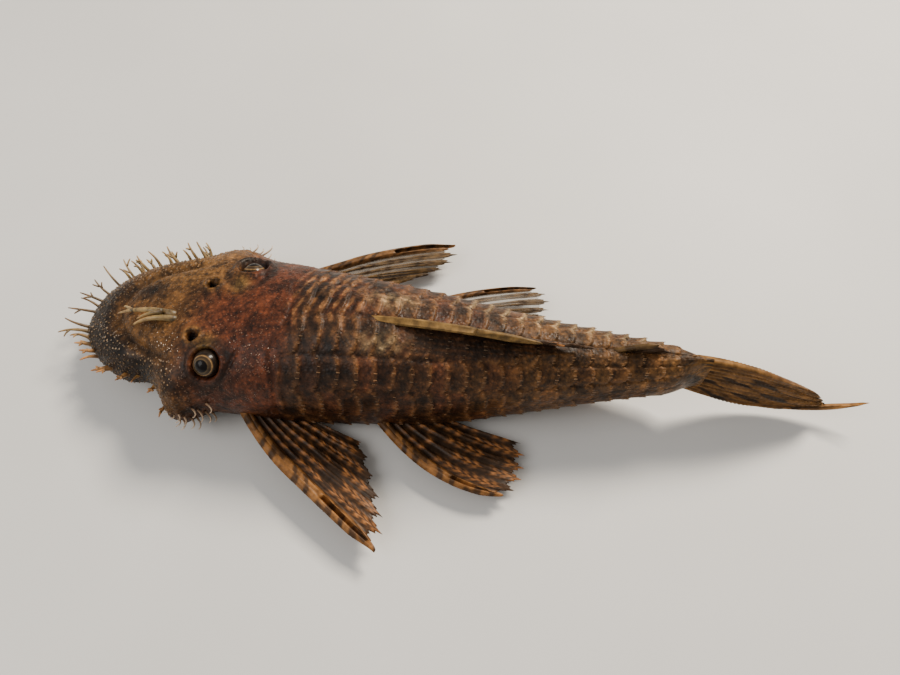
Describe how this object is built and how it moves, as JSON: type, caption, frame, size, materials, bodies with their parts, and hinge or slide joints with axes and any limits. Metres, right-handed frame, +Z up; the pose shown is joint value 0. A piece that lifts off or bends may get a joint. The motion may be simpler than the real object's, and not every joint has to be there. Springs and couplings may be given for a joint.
{
  "type": "bristlenose pleco",
  "caption": "Life-size still model of a male bristlenose pleco lying on its belly, fins spread low, with snout bristles and rows of body plates.",
  "frame": {"origin": "on the floor, under the middle of the belly", "axes": "+X towards the tail, +Y to the fish's right side, +Z up"},
  "size_m": [0.1369, 0.0605, 0.0215],
  "materials": {
    "skin": "damp mottled brown skin and plates",
    "fin": "damp spotted fin",
    "lips": "soft pale lip",
    "eye": "wet eye",
    "bristle": "soft olive bristle",
    "odontode": "pale horny spine"
  },
  "bodies": {
    "root": {"head": "skin", "trunk": "skin", "tail_stalk": "skin", "mouth_disc": "lips", "eye_left": "eye", "eye_right": "eye", "dorsal_fin": "fin", "adipose_fin": "fin", "caudal_fin": "fin", "anal_fin": "fin", "pectoral_fin_left": "fin", "pectoral_fin_right": "fin", "pelvic_fin_left": "fin", "pelvic_fin_right": "fin"}
  },
  "joints": []
}
